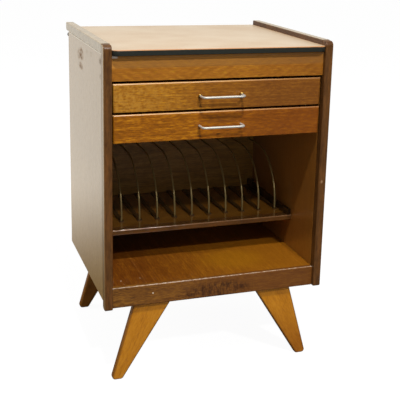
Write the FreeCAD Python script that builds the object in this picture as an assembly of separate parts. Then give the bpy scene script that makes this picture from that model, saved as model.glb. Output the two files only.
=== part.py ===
import FreeCAD, Part
import math
import os
from FreeCAD import Vector

# Record nightstand: a cabinet with two drawers, a rack of wire hoops and four splayed board legs.
# Millimetres. X runs to the right, Y to the back, Z up from the floor.
# Depths are counted from the front plane of the two front posts, heights from the floor.

# Carcass
WIDTH = 490.0
CARCASS_DEPTH = 386.0
PANEL_T = 17.5
HOUSING = 5.0
BASE_Z = 170.5
BASE_H = 44.5
SIDE_LIFT = 17.5
BOTTOM_T = 18.0
BACK_T = 5.0
BACK_LAP = 6.5

# Front trims and the setback of all fronts behind the posts
POST_DEPTH = 20.0
POST_DROP = 1.0
POST_TOP_R = 10.0
POST_HEEL_R = 8.0
POST_FOOT_R = 4.0
FACE_SETBACK = 10.0
ARRIS_R = 2.5
FRONT_ARRIS_R = 4.0

# Heights of the bays
LOWER_BAY_H = 70.0
SHELF_T = 11.5
UPPER_BAY_H = 227.0
DRAWER_FRONT_H = 57.0
DRAWER_GAP = 5.25
RAIL_H = 51.5

# Top
TOP_OVERHANG = 33.0
TOP_NOSE = 5.0
TOP_CORNER_R = 13.0
BOARD_T = 10.0
LAMINATE_T = 1.0
EDGE_STRIP_T = 1.5
RIM_H = 19.0
RIM_PROUD = 11.0
RIM_HEEL_R = 7.0
RIM_GROOVE = 1.2
RIM_ARRIS_R = 2.0
RAIL_T = 16.0
CLEAT_W = 15.0
CLEAT_H = 18.0

# Drawers
DRAWER_NAMES = ("drawer_1", "drawer_2")
DRAWER_END_GAP = 3.5
FRONT_T = 16.0
BOX_REAR_GAP = 18.0
BOX_H = 42.0
BOX_LIFT = 6.0
BOX_SIDE_GAP = 5.0
BOX_SIDE_T = 12.0
BOX_BACK_T = 10.0
BOX_BACK_INSET = 8.0
BOX_BACK_HOUSING = 4.0
BOX_BOTTOM_T = 4.0
BOTTOM_GROOVE = 4.0
BOTTOM_GROOVE_Z = 6.0
TAIL_COUNT = 2
TAIL_LENGTH = 10.0
TAIL_ROOT = 11.0
TAIL_TIP = 15.0
RUNNER_H = 12.0
RUNNER_Z = 20.0
RUNNER_REST = 0.3
RUNNER_CLEAR = 0.5
GROOVE_DEPTH = 6.0
GROOVE_START = 20.0
RUNNER_BACK_GAP = 3.0

# Bent rod handles
HANDLE_LENGTH = 90.0
HANDLE_R = 2.4
HANDLE_STAND = 24.0
HANDLE_BEND_R = 7.0
HANDLE_DROP = 1.0
HANDLE_HOLE_FIT = 0.2
HANDLE_THREAD = 7.0
BUSH_R = 4.4
BUSH_L = 4.0
BUSH_ROUND = 1.2
NUT_AF = 8.0
NUT_T = 3.5

# Record rack
SHELF_SETBACK = 132.0
LIPPING_W = 23.0
LIPPING_R = 2.0
WIRE_COUNT = 11
WIRE_END = 20.0
WIRE_R = 2.0
WIRE_FIT = 0.1
WIRE_FOOT_Y = 188.5
WIRE_ARC_R = 117.0
WIRE_TOP_H = 130.5
WIRE_SHELF_DEPTH = 7.0
WIRE_BACK_DEPTH = 4.0
STRIP_W = 10.0
STRIP_T = 2.5
STRIP_LEAD = 5.0
BATTEN_W = 8.5
BATTEN_H = 12.0
BATTEN_LEAD = 5.0
BLOCK_W = 14.0
BLOCK_H = 19.0
BLOCK_L = 16.0

# Legs and what they are fixed to
LEG_T = 17.0
LEG_OUTER_FOOT = 227.0
LEG_OUTER_SLOPE = 0.286
LEG_INNER_FOOT = 203.0
LEG_INNER_SLOPE = 0.629
LEG_FOOT_R = 7.0
LEG_HEAD_R = 6.0
LEG_ARRIS_R = 4.5
BEARER_T = 18.0
BEARER_LIFT = 2.0
REAR_RAIL_T = 12.0

# Fasteners
LEG_SCREW_R = 2.0
LEG_SCREW_HEAD_R = 4.0
LEG_SCREW_GRIP = 10.0
LEG_SCREW_INSET = 20.0
BACK_SCREW_R = 1.5
BACK_SCREW_HEAD_R = 3.2
BACK_SCREW_HEAD_H = 1.8
BACK_SCREW_L = 14.0
BACK_SCREW_ROWS = 4
BACK_SCREW_MARGIN = 20.0
PEG_R = 5.0
PEG_L = 18.0
PEG_ROUND = 3.0
PEG_DROP = 3.0
SCREW_FIT = 0.1

# Worked out from the sizes above
HALF = WIDTH / 2
INNER = HALF - PANEL_T
TOP_DEPTH = CARCASS_DEPTH + TOP_OVERHANG
HANDLE_REACH = HANDLE_STAND + HANDLE_R - FACE_SETBACK
FRONT = (HANDLE_REACH - TOP_DEPTH) / 2
BASE_TOP = BASE_Z + BASE_H
SHELF_Z = BASE_TOP + LOWER_BAY_H
SHELF_TOP = SHELF_Z + SHELF_T
DRAWER_PITCH = DRAWER_FRONT_H + DRAWER_GAP
LOW_DRAWER_Z = SHELF_TOP + UPPER_BAY_H
RAIL_Z = LOW_DRAWER_Z + len(DRAWER_NAMES) * DRAWER_PITCH
BOARD_Z = RAIL_Z + RAIL_H
LAMINATE_Z = BOARD_Z + BOARD_T
RIM_TOP = LAMINATE_Z + LAMINATE_T + RIM_PROUD
SIDE_TOP = RIM_TOP - RIM_H
SIDE_Z = BASE_Z + SIDE_LIFT
BOX_HALF = INNER - BOX_SIDE_GAP
BOX_INNER = BOX_HALF - BOX_SIDE_T
BOX_FRONT = FACE_SETBACK + FRONT_T
BOX_REAR = CARCASS_DEPTH - BOX_REAR_GAP
WIRE_TOP_Z = SHELF_TOP + WIRE_TOP_H
LEG_TOP = BASE_TOP - BOTTOM_T
REAR_LEG_Y = CARCASS_DEPTH + REAR_RAIL_T

NODES = {}


def drawer_z(index):
    """Height of the lower edge of a drawer's front; drawer_1 is the upper one."""
    return LOW_DRAWER_Z + (len(DRAWER_NAMES) - 1 - index) * DRAWER_PITCH


def block(x, y, z):
    """A box from three (low, high) pairs, with y counted from the posts' front plane."""
    corner = Vector(x[0], FRONT + y[0], z[0])
    return Part.makeBox(x[1] - x[0], y[1] - y[0], z[1] - z[0], corner)


def across(half, y, z):
    """A box that spans the cabinet from -half to half."""
    return block((-half, half), y, z)


def rod(radius, start, direction, length):
    """A round rod or drill from a start point whose y is a depth."""
    base = Vector(start[0], FRONT + start[1], start[2])
    return Part.makeCylinder(radius, length, base, Vector(*direction))


def mirrored(shape):
    """The same piece for the other side of the cabinet."""
    return shape.mirror(Vector(0, 0, 0), Vector(1, 0, 0))


def along(edge, direction):
    """True for a straight edge that runs along a direction."""
    if not isinstance(edge.Curve, Part.Line):
        return False
    return abs(abs(edge.Curve.Direction.dot(Vector(*direction))) - 1) < 1e-6


def rounded(shape, radius, wanted):
    """The shape with a fillet on every edge that the test picks by its middle point."""
    edges = [edge for edge in shape.Edges if wanted(edge, edge.CenterOfMass)]
    return shape.makeFillet(radius, edges)


def near(value, target):
    return abs(value - target) < 1e-3


def outline(points):
    """A closed face from points, each with an optional corner radius as its fourth number."""
    edges = []
    joints = []
    count = len(points)
    for i in range(count):
        corner = Vector(*points[i][:3])
        before = (Vector(*points[i - 1][:3]) - corner).normalize()
        after = (Vector(*points[(i + 1) % count][:3]) - corner).normalize()
        radius = points[i][3] if len(points[i]) > 3 else 0.0
        if radius == 0.0:
            joints.append((corner, corner, None))
            continue
        half_angle = before.getAngle(after) / 2
        setback = radius / math.tan(half_angle)
        inward = (before + after).normalize()
        middle = corner + inward * (radius / math.sin(half_angle) - radius)
        joints.append((corner + before * setback, corner + after * setback, middle))
    for i in range(count):
        start, end, middle = joints[i]
        if middle is not None:
            edges.append(Part.Arc(start, middle, end).toShape())
        following = joints[(i + 1) % count][0]
        if (following - end).Length > 1e-6:
            edges.append(Part.LineSegment(end, following).toShape())
    return Part.Face(Part.Wire(edges))


def add(name, shape):
    NODES[name] = shape


def add_pair(name, right):
    """A right-hand piece and its mirror image."""
    add(name + "_right", right)
    add(name + "_left", mirrored(right))


# Side panels, with housings for the shelf and the bottom board

def side_panel():
    panel = block((INNER, HALF), (POST_DEPTH, CARCASS_DEPTH), (SIDE_Z, SIDE_TOP))
    housed = (INNER, INNER + HOUSING)
    panel = panel.cut(block(housed, (POST_DEPTH, CARCASS_DEPTH), (LEG_TOP, BASE_TOP)))
    panel = panel.cut(block(housed, (SHELF_SETBACK, CARCASS_DEPTH), (SHELF_Z, SHELF_TOP)))
    for z in back_screw_heights():
        panel = panel.cut(back_screw_hole(back_screw_x(), z))
    return panel.cut(peg_hole())


def front_post():
    y0 = FRONT
    y1 = FRONT + POST_DEPTH
    foot = BASE_Z
    head = RIM_TOP - POST_DROP
    side_view = outline([
        (INNER, y0, foot, POST_FOOT_R),
        (INNER, y1, foot, POST_HEEL_R),
        (INNER, y1, head),
        (INNER, y0, head, POST_TOP_R),
    ])
    post = side_view.extrude(Vector(PANEL_T, 0, 0))

    def long_arris(edge, middle):
        on_side = near(middle.x, INNER) or near(middle.x, HALF)
        return on_side and middle.y < y1 - 1e-3

    return rounded(post, ARRIS_R, long_arris)


def top_rim():
    y0 = FRONT + POST_DEPTH
    y1 = FRONT + TOP_DEPTH
    side_view = outline([
        (INNER, y0, SIDE_TOP),
        (INNER, y1, SIDE_TOP, RIM_HEEL_R),
        (INNER, y1, RIM_TOP, ARRIS_R),
        (INNER, y0, RIM_TOP),
    ])
    rim = side_view.extrude(Vector(PANEL_T, 0, 0))

    def upper_arris(edge, middle):
        on_side = near(middle.x, INNER) or near(middle.x, HALF)
        return on_side and near(middle.z, RIM_TOP)

    rim = rounded(rim, RIM_ARRIS_R, upper_arris)
    groove = Part.Face(Part.makePolygon([
        Vector(HALF, y0, SIDE_TOP),
        Vector(HALF, y0, SIDE_TOP + RIM_GROOVE),
        Vector(HALF - RIM_GROOVE, y0, SIDE_TOP),
        Vector(HALF, y0, SIDE_TOP),
    ]))
    return rim.cut(groove.extrude(Vector(0, CARCASS_DEPTH - POST_DEPTH, 0)))


# Top board with a black strip round its nose and a thin laminate over both

def top_plan(z, inset):
    """The plan of the top, drawn in by inset at the nose and its rounded corners."""
    nose = FRONT - TOP_NOSE + inset
    radius = TOP_CORNER_R - inset
    wide = INNER - inset
    rear = FRONT + TOP_DEPTH
    return outline([
        (-wide, nose, z, radius),
        (wide, nose, z, radius),
        (wide, rear, z),
        (-wide, rear, z),
    ])


def top_edge_strip():
    up = Vector(0, 0, BOARD_T)
    ring = top_plan(BOARD_Z, 0).extrude(up).cut(top_plan(BOARD_Z, EDGE_STRIP_T).extrude(up))
    nose = across(HALF, (-TOP_NOSE, TOP_CORNER_R - TOP_NOSE), (BOARD_Z, LAMINATE_Z))
    return ring.common(nose)


def top_board():
    return top_plan(BOARD_Z, 0).extrude(Vector(0, 0, BOARD_T)).cut(top_edge_strip())


def top_laminate():
    return top_plan(LAMINATE_Z, 0).extrude(Vector(0, 0, LAMINATE_T))


def top_rail():
    rail = across(INNER, (FACE_SETBACK, FACE_SETBACK + RAIL_T), (RAIL_Z, BOARD_Z))
    front = FRONT + FACE_SETBACK

    def top_arris(edge, middle):
        return near(middle.y, front) and near(middle.z, BOARD_Z)

    return rounded(rail, FRONT_ARRIS_R, top_arris)


def rear_top_rail():
    return across(INNER, (CARCASS_DEPTH - RAIL_T, CARCASS_DEPTH), (RAIL_Z, BOARD_Z))


def top_cleats():
    """Two battens under the top board, screwed to the side panels."""
    run = (FACE_SETBACK + RAIL_T, CARCASS_DEPTH - RAIL_T)
    cleat = block((INNER - CLEAT_W, INNER), run, (BOARD_Z - CLEAT_H, BOARD_Z))
    return Part.makeCompound([cleat, mirrored(cleat)])


# Drawers: fronts dovetailed to grooved sides that hang on side runners

def tails(index):
    """The dovetails of the right-hand side, as one list of prisms."""
    z0 = drawer_z(index) + BOX_LIFT
    pitch = BOX_H / TAIL_COUNT
    root = FRONT + BOX_FRONT
    tip = root - TAIL_LENGTH
    prisms = []
    for i in range(TAIL_COUNT):
        middle = z0 + pitch * (i + 0.5)
        face = Part.Face(Part.makePolygon([
            Vector(BOX_INNER, root, middle - TAIL_ROOT / 2),
            Vector(BOX_INNER, tip, middle - TAIL_TIP / 2),
            Vector(BOX_INNER, tip, middle + TAIL_TIP / 2),
            Vector(BOX_INNER, root, middle + TAIL_ROOT / 2),
            Vector(BOX_INNER, root, middle - TAIL_ROOT / 2),
        ]))
        prisms.append(face.extrude(Vector(BOX_SIDE_T, 0, 0)))
    return prisms


def bottom_groove_z(index):
    low = drawer_z(index) + BOX_LIFT + BOTTOM_GROOVE_Z
    return (low, low + BOX_BOTTOM_T)


def drawer_front(index):
    z0 = drawer_z(index)
    z1 = z0 + DRAWER_FRONT_H
    half = INNER - DRAWER_END_GAP
    front = FRONT + FACE_SETBACK
    panel = across(half, (FACE_SETBACK, BOX_FRONT), (z0, z1))

    def face_arris(edge, middle):
        return near(middle.y, front) and not near(middle.z, z0)

    panel = rounded(panel, FRONT_ARRIS_R, face_arris)
    for tail in tails(index):
        panel = panel.cut(tail)
        panel = panel.cut(mirrored(tail))
    groove = across(BOX_INNER, (BOX_FRONT - BOTTOM_GROOVE, BOX_FRONT), bottom_groove_z(index))
    panel = panel.cut(groove)
    for x in (-HANDLE_LENGTH / 2, HANDLE_LENGTH / 2):
        drill = rod(HANDLE_R + HANDLE_HOLE_FIT, (x, FACE_SETBACK, handle_z(index)), (0, 1, 0), FRONT_T)
        panel = panel.cut(drill)
    return panel


def drawer_side(index):
    z0 = drawer_z(index) + BOX_LIFT
    side = block((BOX_INNER, BOX_HALF), (BOX_FRONT, BOX_REAR), (z0, z0 + BOX_H))
    for tail in tails(index):
        side = side.fuse(tail)
    side = side.removeSplitter()
    runner = z0 + RUNNER_Z
    slot = (runner - RUNNER_H / 2 - RUNNER_REST, runner + RUNNER_H / 2 + RUNNER_REST)
    groove = (BOX_HALF - GROOVE_DEPTH, BOX_HALF)
    side = side.cut(block(groove, (BOX_FRONT + GROOVE_START, BOX_REAR), slot))
    inside = (BOX_INNER, BOX_INNER + BOTTOM_GROOVE)
    side = side.cut(block(inside, (BOX_FRONT, BOX_REAR), bottom_groove_z(index)))
    housing = (BOX_INNER, BOX_INNER + BOX_BACK_HOUSING)
    return side.cut(block(housing, drawer_back_depth(), (bottom_groove_z(index)[1], z0 + BOX_H)))


def drawer_back_depth():
    rear = BOX_REAR - BOX_BACK_INSET
    return (rear - BOX_BACK_T, rear)


def drawer_back(index):
    top = drawer_z(index) + BOX_LIFT + BOX_H
    return across(BOX_INNER + BOX_BACK_HOUSING, drawer_back_depth(), (bottom_groove_z(index)[1], top))


def drawer_bottom(index):
    run = (BOX_FRONT - BOTTOM_GROOVE, BOX_REAR - BOX_BACK_INSET)
    sheet = across(BOX_INNER + BOTTOM_GROOVE, (BOX_FRONT, run[1]), bottom_groove_z(index))
    tongue = across(BOX_INNER, run, bottom_groove_z(index))
    return sheet.fuse(tongue).removeSplitter()


def runner(index):
    """A hardwood strip on the side panel, inside the drawer side's groove."""
    middle = drawer_z(index) + BOX_LIFT + RUNNER_Z
    inner = BOX_HALF - GROOVE_DEPTH + RUNNER_CLEAR
    depth = (BOX_FRONT + GROOVE_START + RUNNER_REST, CARCASS_DEPTH - RUNNER_BACK_GAP)
    return block((inner, INNER), depth, (middle - RUNNER_H / 2, middle + RUNNER_H / 2))


# Handles: one bent rod each, nutted inside the front; the upper pair has turned bushes

def handle_z(index):
    return drawer_z(index) + DRAWER_FRONT_H / 2 - HANDLE_DROP


def handle(index):
    z = handle_z(index)
    half = HANDLE_LENGTH / 2
    bend = HANDLE_BEND_R
    bar_y = FRONT + FACE_SETBACK - HANDLE_STAND
    end_y = FRONT + BOX_FRONT + HANDLE_THREAD
    short = bend * (1 - math.cos(math.pi / 4))

    def point(x, y):
        return Vector(x, y, z)

    path = Part.Wire([
        Part.LineSegment(point(-half, end_y), point(-half, bar_y + bend)).toShape(),
        Part.Arc(point(-half, bar_y + bend), point(-half + short, bar_y + short),
                 point(-half + bend, bar_y)).toShape(),
        Part.LineSegment(point(-half + bend, bar_y), point(half - bend, bar_y)).toShape(),
        Part.Arc(point(half - bend, bar_y), point(half - short, bar_y + short),
                 point(half, bar_y + bend)).toShape(),
        Part.LineSegment(point(half, bar_y + bend), point(half, end_y)).toShape(),
    ])
    return swept_rod(path, HANDLE_R, point(-half, end_y), Vector(0, -1, 0))


def swept_rod(path, radius, start, direction):
    """Round wire of one radius along a path of lines and tangent arcs."""
    section = Part.Wire(Part.Circle(start, direction, radius).toShape())
    return path.makePipeShell([section], True, False)


def handle_nuts(index):
    nuts = []
    corner_r = NUT_AF / math.sqrt(3)
    y = FRONT + BOX_FRONT
    for x in (-HANDLE_LENGTH / 2, HANDLE_LENGTH / 2):
        corners = []
        for i in range(7):
            angle = math.radians(60 * i)
            rise = corner_r * math.sin(angle)
            corners.append(Vector(x + corner_r * math.cos(angle), y, handle_z(index) + rise))
        nut = Part.Face(Part.makePolygon(corners)).extrude(Vector(0, NUT_T, 0))
        nuts.append(nut.cut(rod(HANDLE_R, (x, BOX_FRONT, handle_z(index)), (0, 1, 0), NUT_T)))
    return Part.makeCompound(nuts)


def handle_bushes(index):
    bushes = []
    for x in (-HANDLE_LENGTH / 2, HANDLE_LENGTH / 2):
        start = (x, FACE_SETBACK - BUSH_L, handle_z(index))
        bush = rod(BUSH_R, start, (0, 1, 0), BUSH_L)

        def outer_lip(edge, middle):
            return near(middle.y, FRONT + FACE_SETBACK - BUSH_L)

        bush = rounded(bush, BUSH_ROUND, outer_lip)
        bushes.append(bush.cut(rod(HANDLE_R, start, (0, 1, 0), BUSH_L)))
    return Part.makeCompound(bushes)


# Record rack: shelf, strips, hoops and end battens

def wire_x(i):
    """Place of a wire across the shelf; the outer two stand WIRE_END from the side panels."""
    end = INNER - WIRE_END
    return -end + i * 2 * end / (WIRE_COUNT - 1)


def wire_foot_drill(i):
    start = (wire_x(i), WIRE_FOOT_Y, SHELF_TOP - WIRE_SHELF_DEPTH)
    return rod(WIRE_R + WIRE_FIT, start, (0, 0, 1), WIRE_SHELF_DEPTH + STRIP_T)


def shelf():
    board = across(INNER + HOUSING, (SHELF_SETBACK + LIPPING_W, CARCASS_DEPTH), (SHELF_Z, SHELF_TOP))
    for i in range(WIRE_COUNT):
        board = board.cut(wire_foot_drill(i))
    return board


def shelf_lipping():
    strip = across(INNER + HOUSING, (SHELF_SETBACK, SHELF_SETBACK + LIPPING_W), (SHELF_Z, SHELF_TOP))
    front = FRONT + SHELF_SETBACK

    def front_arris(edge, middle):
        return near(middle.y, front) and along(edge, (1, 0, 0))

    return rounded(strip, LIPPING_R, front_arris)


def divider_strips():
    strips = []
    for i in range(WIRE_COUNT):
        x = wire_x(i)
        depth = (WIRE_FOOT_Y - STRIP_LEAD, CARCASS_DEPTH)
        strip = block((x - STRIP_W / 2, x + STRIP_W / 2), depth, (SHELF_TOP, SHELF_TOP + STRIP_T))
        strips.append(strip.cut(wire_foot_drill(i)))
    return Part.makeCompound(strips)


def hoop_wire(i):
    """One wire: up from the shelf, round a quarter turn, level into the back panel."""
    x = wire_x(i)
    foot = FRONT + WIRE_FOOT_Y
    low = SHELF_TOP - WIRE_SHELF_DEPTH
    turn = WIRE_TOP_Z - WIRE_ARC_R
    rear = FRONT + CARCASS_DEPTH + WIRE_BACK_DEPTH
    short = WIRE_ARC_R * (1 - math.cos(math.pi / 4))
    path = Part.Wire([
        Part.LineSegment(Vector(x, foot, low), Vector(x, foot, turn)).toShape(),
        Part.Arc(Vector(x, foot, turn), Vector(x, foot + short, WIRE_TOP_Z - short),
                 Vector(x, foot + WIRE_ARC_R, WIRE_TOP_Z)).toShape(),
        Part.LineSegment(Vector(x, foot + WIRE_ARC_R, WIRE_TOP_Z), Vector(x, rear, WIRE_TOP_Z)).toShape(),
    ])
    return swept_rod(path, WIRE_R, Vector(x, foot, low), Vector(0, 0, 1))


def end_batten():
    """A strip along the side panel on the shelf, with a corner block at its rear end."""
    front = SHELF_SETBACK + BATTEN_LEAD
    top = SHELF_TOP + BATTEN_H
    strip = block((INNER - BATTEN_W, INNER), (front, CARCASS_DEPTH), (SHELF_TOP, top))
    corner = block((INNER - BLOCK_W, INNER), (CARCASS_DEPTH - BLOCK_L, CARCASS_DEPTH),
                   (SHELF_TOP, SHELF_TOP + BLOCK_H))
    return strip.fuse(corner).removeSplitter()


# Back panel and its screws

def back_half():
    return INNER + BACK_LAP


def back_screw_x():
    return INNER + BACK_LAP / 2


def back_screw_heights():
    low = BASE_TOP + BACK_SCREW_MARGIN
    step = (RAIL_Z - low) / (BACK_SCREW_ROWS - 1)
    return [low + step * i for i in range(BACK_SCREW_ROWS)]


def back_screw_hole(x, z):
    radius = BACK_SCREW_R + SCREW_FIT
    rear = CARCASS_DEPTH + BACK_T
    return rod(radius, (x, rear - BACK_SCREW_L, z), (0, 1, 0), BACK_SCREW_L)


def back_panel():
    panel = across(back_half(), (CARCASS_DEPTH, CARCASS_DEPTH + BACK_T), (BASE_TOP, BOARD_Z))
    for z in back_screw_heights():
        for x in (-back_screw_x(), back_screw_x()):
            panel = panel.cut(back_screw_hole(x, z))
    for i in range(WIRE_COUNT):
        start = (wire_x(i), CARCASS_DEPTH, WIRE_TOP_Z)
        panel = panel.cut(rod(WIRE_R + WIRE_FIT, start, (0, 1, 0), WIRE_BACK_DEPTH + WIRE_FIT))
    return panel


def round_screw(x, y, z):
    """A round-head screw driven forwards, with its head's seat at depth y."""
    ball_r = (BACK_SCREW_HEAD_R ** 2 + BACK_SCREW_HEAD_H ** 2) / (2 * BACK_SCREW_HEAD_H)
    low = math.degrees(math.acos(BACK_SCREW_HEAD_R / ball_r))
    centre = Vector(x, FRONT + y + BACK_SCREW_HEAD_H - ball_r, z)
    head = Part.makeSphere(ball_r, centre, Vector(0, 1, 0), low, 90, 360)
    return head.fuse(rod(BACK_SCREW_R, (x, y - BACK_SCREW_L, z), (0, 1, 0), BACK_SCREW_L))


def back_panel_screws():
    screws = []
    for z in back_screw_heights():
        for x in (-back_screw_x(), back_screw_x()):
            screws.append(round_screw(x, CARCASS_DEPTH + BACK_T, z))
    return Part.makeCompound(screws)


def peg_place():
    return (HALF - PEG_R, CARCASS_DEPTH, SIDE_TOP - PEG_R - PEG_DROP)


def peg_hole():
    x, y, z = peg_place()
    return rod(BACK_SCREW_R + SCREW_FIT, (x, y - BACK_SCREW_L, z), (0, 1, 0), BACK_SCREW_L)


def rear_pegs():
    """A dark round peg on each side panel's rear edge, under the overhang of the rim."""
    x, y, z = peg_place()
    peg = rod(PEG_R, (x, y, z), (0, 1, 0), PEG_L)

    def rear_lip(edge, middle):
        return near(middle.y, FRONT + y + PEG_L)

    peg = rounded(peg, PEG_ROUND, rear_lip)
    peg = peg.fuse(rod(BACK_SCREW_R, (x, y - BACK_SCREW_L, z), (0, 1, 0), BACK_SCREW_L))
    return Part.makeCompound([peg, mirrored(peg)])


# Base: bottom board, front trim, bearer behind the front legs and rail for the rear ones

def bottom_board():
    return across(INNER + HOUSING, (POST_DEPTH, CARCASS_DEPTH), (LEG_TOP, BASE_TOP))


def base_front():
    trim = across(INNER, (FACE_SETBACK, POST_DEPTH), (BASE_Z, BASE_TOP))
    front = FRONT + FACE_SETBACK

    def front_arris(edge, middle):
        return near(middle.y, front) and along(edge, (1, 0, 0))

    return rounded(trim, ARRIS_R, front_arris)


def front_bearer():
    start = POST_DEPTH + LEG_T
    bearer = across(INNER, (start, start + BEARER_T), (BASE_Z + BEARER_LIFT, LEG_TOP))
    for x in leg_screw_places():
        for side in (-1, 1):
            bearer = bearer.cut(leg_screw_hole(side * x, start, BEARER_T))
            bearer = bearer.cut(leg_screw_sink(side * x, start + BEARER_T))
    return bearer


def rear_base_rail():
    rail = across(back_half(), (CARCASS_DEPTH, REAR_LEG_Y), (BASE_Z, BASE_TOP))
    for x in leg_screw_places():
        for side in (-1, 1):
            rail = rail.cut(leg_screw_hole(side * x, REAR_LEG_Y - LEG_SCREW_GRIP, LEG_SCREW_GRIP))
    return rail


def leg_screw_z():
    return (BASE_Z + BEARER_LIFT + LEG_TOP) / 2


def leg_edges(z):
    """The inner and outer x of a leg board at a height."""
    return (LEG_INNER_FOOT - LEG_INNER_SLOPE * z, LEG_OUTER_FOOT - LEG_OUTER_SLOPE * z)


def leg_screw_places():
    inner, outer = leg_edges(leg_screw_z())
    return (inner + LEG_SCREW_INSET, outer - LEG_SCREW_INSET)


def leg_screw_hole(x, y, length):
    return rod(LEG_SCREW_R + SCREW_FIT, (x, y, leg_screw_z()), (0, 1, 0), length)


def leg(y):
    """A splayed, tapered board leg that stands behind depth y."""
    inner_foot, outer_foot = leg_edges(0)
    inner_head, outer_head = leg_edges(LEG_TOP)
    depth = FRONT + y
    face = outline([
        (inner_foot, depth, 0, LEG_FOOT_R),
        (outer_foot, depth, 0, LEG_FOOT_R),
        (outer_head, depth, LEG_TOP, LEG_HEAD_R),
        (inner_head, depth, LEG_TOP, LEG_HEAD_R),
    ])
    board = face.extrude(Vector(0, LEG_T, 0))

    def arris(edge, middle):
        on_face = near(middle.y, depth) or near(middle.y, depth + LEG_T)
        return on_face and not near(middle.z, LEG_TOP) and not near(middle.z, 0)

    return rounded(board, LEG_ARRIS_R, arris)


def front_leg():
    board = leg(POST_DEPTH)
    for x in leg_screw_places():
        board = board.cut(leg_screw_hole(x, POST_DEPTH + LEG_T - LEG_SCREW_GRIP, LEG_SCREW_GRIP))
    return board


def rear_leg():
    board = leg(REAR_LEG_Y)
    for x in leg_screw_places():
        board = board.cut(leg_screw_hole(x, REAR_LEG_Y, LEG_T))
        board = board.cut(leg_screw_sink(x, REAR_LEG_Y + LEG_T))
    return board


def leg_screw_sink(x, y):
    """The countersunk seat of a leg screw whose head lies flush at depth y."""
    drop = LEG_SCREW_HEAD_R - LEG_SCREW_R
    seat = Vector(x, FRONT + y - drop, leg_screw_z())
    return Part.makeCone(LEG_SCREW_R, LEG_SCREW_HEAD_R, drop, seat, Vector(0, 1, 0))


def leg_screws():
    """Countersunk screws: through the bearer into each front leg, through each rear leg into the rail."""
    runs = (
        (POST_DEPTH + LEG_T - LEG_SCREW_GRIP, LEG_SCREW_GRIP + BEARER_T),
        (REAR_LEG_Y - LEG_SCREW_GRIP, LEG_SCREW_GRIP + LEG_T),
    )
    screws = []
    for start, length in runs:
        for x in leg_screw_places():
            shank = rod(LEG_SCREW_R, (x, start, leg_screw_z()), (0, 1, 0), length)
            screw = shank.fuse(leg_screw_sink(x, start + length)).removeSplitter()
            screws.extend([screw, mirrored(screw)])
    return Part.makeCompound(screws)


def build_carcass():
    add_pair("side_panel", side_panel())
    add_pair("front_post", front_post())
    add_pair("top_rim", top_rim())
    add("top_board", top_board())
    add("top_laminate", top_laminate())
    add("top_edge_strip", top_edge_strip())
    add("top_rail", top_rail())
    add("rear_top_rail", rear_top_rail())
    add("top_cleats", top_cleats())
    add("bottom_board", bottom_board())
    add("base_front", base_front())
    add("front_bearer", front_bearer())
    add("rear_base_rail", rear_base_rail())
    add("back_panel", back_panel())
    add("back_panel_screws", back_panel_screws())
    add("rear_pegs", rear_pegs())
    add_pair("leg_front", front_leg())
    add_pair("leg_rear", rear_leg())
    add("leg_screws", leg_screws())


def build_rack():
    add("record_shelf", shelf())
    add("shelf_lipping", shelf_lipping())
    add("divider_strips", divider_strips())
    add_pair("end_batten", end_batten())
    for i in range(WIRE_COUNT):
        add("hoop_wire_%02d" % (i + 1), hoop_wire(i))


def build_drawers():
    for index, name in enumerate(DRAWER_NAMES):
        add(name + "_front", drawer_front(index))
        add_pair(name + "_side", drawer_side(index))
        add(name + "_back", drawer_back(index))
        add(name + "_bottom", drawer_bottom(index))
        add(name + "_handle", handle(index))
        add(name + "_handle_nuts", handle_nuts(index))
        add_pair(name + "_runner", runner(index))
    add(DRAWER_NAMES[0] + "_handle_bushes", handle_bushes(0))


def main():
    build_carcass()
    build_rack()
    build_drawers()
    os.makedirs("parts", exist_ok=True)
    for name, shape in NODES.items():
        shape.exportStep("parts/" + name + ".step")
    print(len(NODES), "nodes")


main()
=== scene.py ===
"""Finishes of the record nightstand: veneers, solid woods, laminate, rods, the studio and the camera."""
import math

import bmesh
import bpy
from bpy.props import FloatProperty, FloatVectorProperty, PointerProperty, StringProperty
from mathutils import Matrix, Vector


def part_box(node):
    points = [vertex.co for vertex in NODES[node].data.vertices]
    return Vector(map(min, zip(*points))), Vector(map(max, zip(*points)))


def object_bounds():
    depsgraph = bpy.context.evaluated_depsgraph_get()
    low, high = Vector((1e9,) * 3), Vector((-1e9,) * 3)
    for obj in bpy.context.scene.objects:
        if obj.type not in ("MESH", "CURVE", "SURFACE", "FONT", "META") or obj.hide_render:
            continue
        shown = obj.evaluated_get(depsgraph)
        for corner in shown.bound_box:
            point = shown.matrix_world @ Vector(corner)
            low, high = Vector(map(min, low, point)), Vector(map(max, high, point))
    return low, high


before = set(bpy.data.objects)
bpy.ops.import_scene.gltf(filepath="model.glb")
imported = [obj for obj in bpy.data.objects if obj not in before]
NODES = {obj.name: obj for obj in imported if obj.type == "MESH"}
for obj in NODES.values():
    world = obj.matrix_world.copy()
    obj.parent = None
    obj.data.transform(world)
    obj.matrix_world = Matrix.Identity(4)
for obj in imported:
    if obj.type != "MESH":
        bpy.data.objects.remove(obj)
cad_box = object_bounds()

bl_info = {
    "name": "Record nightstand finishes",
    "version": (1, 0, 0),
    "blender": (4, 5, 0),
    "location": "View3D > Sidebar > Nightstand",
    "description": "Gives each piece of the record nightstand its finish and sets up the studio",
    "category": "Object",
}

MM = 0.001

# Distances from the middle plane, in millimetres, between which a finish gives way to the next one.
PANEL_CORE = (236.0, 238.0)
RIM_INNER_ARRIS = (228.0, 229.5)
RIM_OUTER_ARRIS = (241.0, 243.0)
POST_OUTER_ARRIS = (243.6, 244.6)

# Nearly all of a noise lies between these two values.
NOISE_LOW, NOISE_HIGH = 0.38, 0.62

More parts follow.
